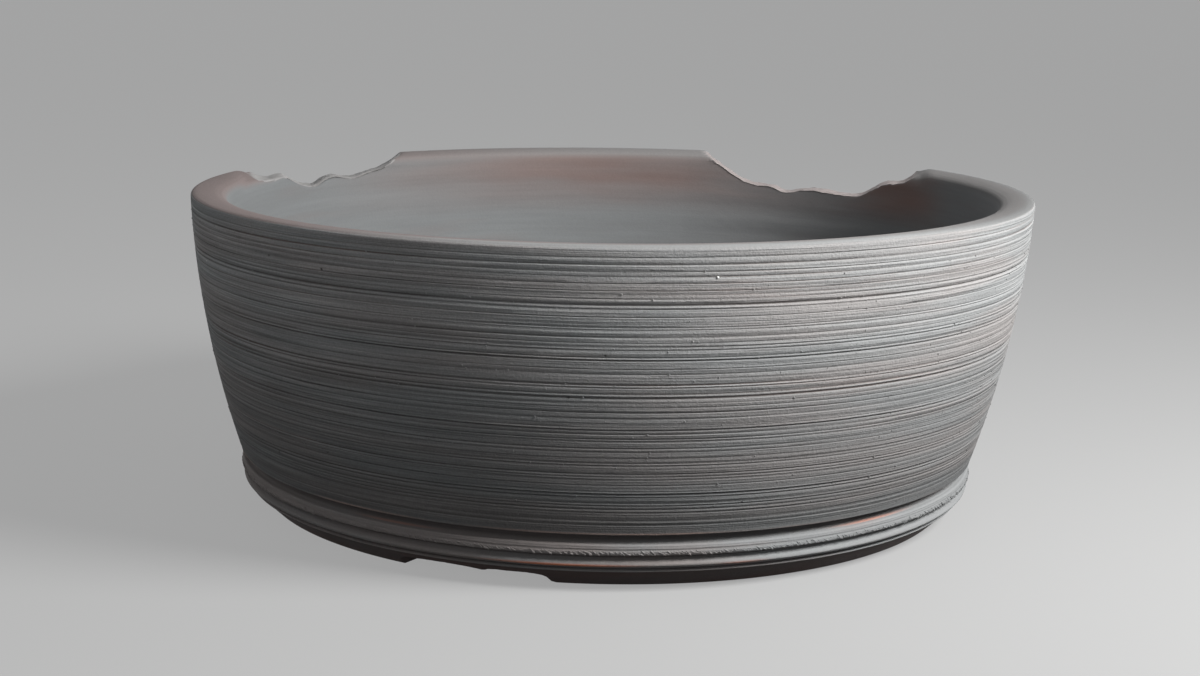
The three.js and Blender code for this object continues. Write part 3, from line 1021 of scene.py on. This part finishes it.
def flakePiece(name, sizes, clay):
    tree, keys, size = newTree(name + "_scattered", sizes)
    index = make(tree, "GeometryNodeInputIndex")
    line = make(tree, "GeometryNodeMeshLine", {"Count": size["count"]})
    turn = (index + draw(tree, index, size["seed"], -0.4, 0.4)) / size["count"] * (2 * math.pi)
    sine, cosine = turn.sin(), turn.cos()
    rise = size["height"] + draw(tree, index, size["seed"] + 1, -1.0, 1.0) * size["spread"]
    reach = size["radius"] + draw(tree, index, size["seed"] + 2, -0.12, 0.05) * mm
    line = make(tree, "GeometryNodeSetPosition", {
        "Geometry": line, "Position": spot(tree, reach * sine, -(reach * cosine), rise)})
    clump = clouds(tree, sine * 9.0, cosine * 9.0, size["seed"], 3.0, 0.6)
    bare = make(tree, "FunctionNodeCompare", (clump, size["clumping"]),
                data_type="FLOAT", operation="LESS_THAN")
    line = make(tree, "GeometryNodeDeleteGeometry", {"Geometry": line, "Selection": bare})
    slant = draw(tree, index, size["seed"] + 3, 0.7, 1.35)
    chip = make(tree, "GeometryNodeMeshIcoSphere", {"Radius": 0.5, "Subdivisions": 1}, out="Mesh")
    long = size["length"] * draw(tree, index, size["seed"] + 4, 0.5, 1.3)
    facing = make(tree, "ShaderNodeVectorMath", (
        make(tree, "GeometryNodeInputPosition"), (1.0, 1.0, 0.0)), operation="MULTIPLY")
    aim = make(tree, "FunctionNodeAlignRotationToVector", {"Vector": facing}, axis="X")
    lean = make(tree, "FunctionNodeAxisAngleToRotation", {"Axis": (1.0, 0.0, 0.0), "Angle": slant})
    aim = make(tree, "FunctionNodeRotateRotation", (aim, lean), rotation_space="LOCAL")
    plugs = {"Points": line, "Instance": chip, "Rotation": aim,
             "Scale": spot(tree, long * 0.36, long * 0.3, long)}
    shape = make(tree, "GeometryNodeInstanceOnPoints", plugs)
    closeTree(tree, shape, size)
    return runTree(name, tree, keys, sizes, clay, None, 30.0)


rollFlakes = flakePiece("roll_flakes", flakeSizes, bandClay)
edgeFringe = flakePiece("edge_fringe", fringeSizes, wallClay)

for piece, node, slot in (
        (combedWall, "thrown_wall", "combed_stoneware"),
        (mouldedBand, "foot_band", "moulded_stoneware"),
        (footRing, "foot_ring", "foot_stoneware"),
        (thumbedCoil, "corner_coil", "floor_stoneware"),
        (turnedFloor, "floor_slab", "floor_stoneware"),
        (wallGrit, None, "combed_stoneware"),
        (rollFlakes, None, "moulded_stoneware"),
        (edgeFringe, None, "combed_stoneware")):
    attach(piece, "root")
    if node:
        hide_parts(node)
print("pieces placed")

# floor, light and camera
stagePlan = {
    "floorSize": 40.0,
    "floorColour": (0.18, 0.18, 0.178, 1),
    "bounceColour": (0.03, 0.03, 0.03, 1),
    "floorGlow": 0.33,
    "worldColour": (0.80, 0.82, 0.84, 1),
    "ambient": 0.78,
    "overhead": 0.1,             # share of the ambient light that is left overhead
    "keyPlace": (0.426, -0.246, 0.394),
    "keyAim": (0.0, 0.0, 0.05),
    "keySize": 0.26,
    "keyPower": 6.4,
    "cameraPlace": (0.0, -0.5888, 0.1562),
    "pitch": 10.77,
    "yaw": 0.22,
    "roll": 1.1,
    "lens": 61.52,
    "sensor": 36.0,
}


# 1 where the camera, a reflection or glass sees the floor or the sky, 0 where they light the pot
def seenDirectly(tree):
    node = tree.nodes.new("ShaderNodeLightPath")
    ways = [Wire(tree, node.outputs[label])
            for label in ("Is Camera Ray", "Is Glossy Ray", "Is Transmission Ray")]
    return (ways[0] + ways[1] + ways[2]).least(1.0)


half = stagePlan["floorSize"] / 2
floorMesh = bpy.data.meshes.new("studio_floor")
corners = [(-half, -half, 0), (half, -half, 0), (half, half, 0), (-half, half, 0)]
floorMesh.from_pydata(corners, [], [(0, 1, 2, 3)])
studioFloor = bpy.data.objects.new("studio_floor", floorMesh)
bpy.context.scene.collection.objects.link(studioFloor)
floorPaint = bpy.data.materials.new("studio_floor")
floorPaint.use_nodes = True
floorTree = floorPaint.node_tree
floorShader = floorTree.nodes["Principled BSDF"]
floorShader.inputs["Roughness"].default_value = 0.9
floorShader.inputs["Specular IOR Level"].default_value = 0.0
floorShader.inputs["Emission Color"].default_value = (1, 1, 1, 1)
seen = seenDirectly(floorTree)
plug(floorTree, tint(floorTree, stagePlan["bounceColour"], stagePlan["floorColour"], seen),
     floorShader.inputs["Base Color"])
plug(floorTree, seen * stagePlan["floorGlow"], floorShader.inputs["Emission Strength"])
floorMesh.materials.append(floorPaint)

world = bpy.data.worlds.new("studio")
bpy.context.scene.world = world
world.use_nodes = True
worldTree = world.node_tree
backdrop = worldTree.nodes["Background"]
backdrop.inputs["Color"].default_value = stagePlan["worldColour"]
rise = make(worldTree, "ShaderNodeSeparateXYZ",
            (make(worldTree, "ShaderNodeTexCoord", out="Generated"),), out=2)
skyLight = between(1.0, stagePlan["overhead"], rise.ease(0.4, 0.6)) * stagePlan["ambient"]
plug(worldTree, between(skyLight, 1.0, seenDirectly(worldTree)), backdrop.inputs["Strength"])

keyLamp = bpy.data.lights.new("key", "AREA")
keyLamp.shape = "DISK"
keyLamp.size = stagePlan["keySize"]
keyLamp.energy = stagePlan["keyPower"]
keyLight = bpy.data.objects.new("key", keyLamp)
bpy.context.scene.collection.objects.link(keyLight)
keyLight.location = stagePlan["keyPlace"]
keyLight.rotation_euler = (keyLight.location - Vector(stagePlan["keyAim"])).to_track_quat("Z", "Y").to_euler()
keyLight.visible_camera = False

eye = bpy.data.cameras.new("camera")
eye.sensor_width = stagePlan["sensor"]
eye.lens = stagePlan["lens"]
camera = bpy.data.objects.new("camera", eye)
bpy.context.scene.collection.objects.link(camera)
camera.matrix_world = (
    Matrix.Translation(stagePlan["cameraPlace"])
    @ Matrix.Rotation(math.radians(stagePlan["yaw"]), 4, "Z")
    @ Matrix.Rotation(math.radians(90 - stagePlan["pitch"]), 4, "X")
    @ Matrix.Rotation(math.radians(stagePlan["roll"]), 4, "Z"))
bpy.context.scene.camera = camera
bpy.context.scene.view_settings.view_transform = "Standard"
print("stage set")
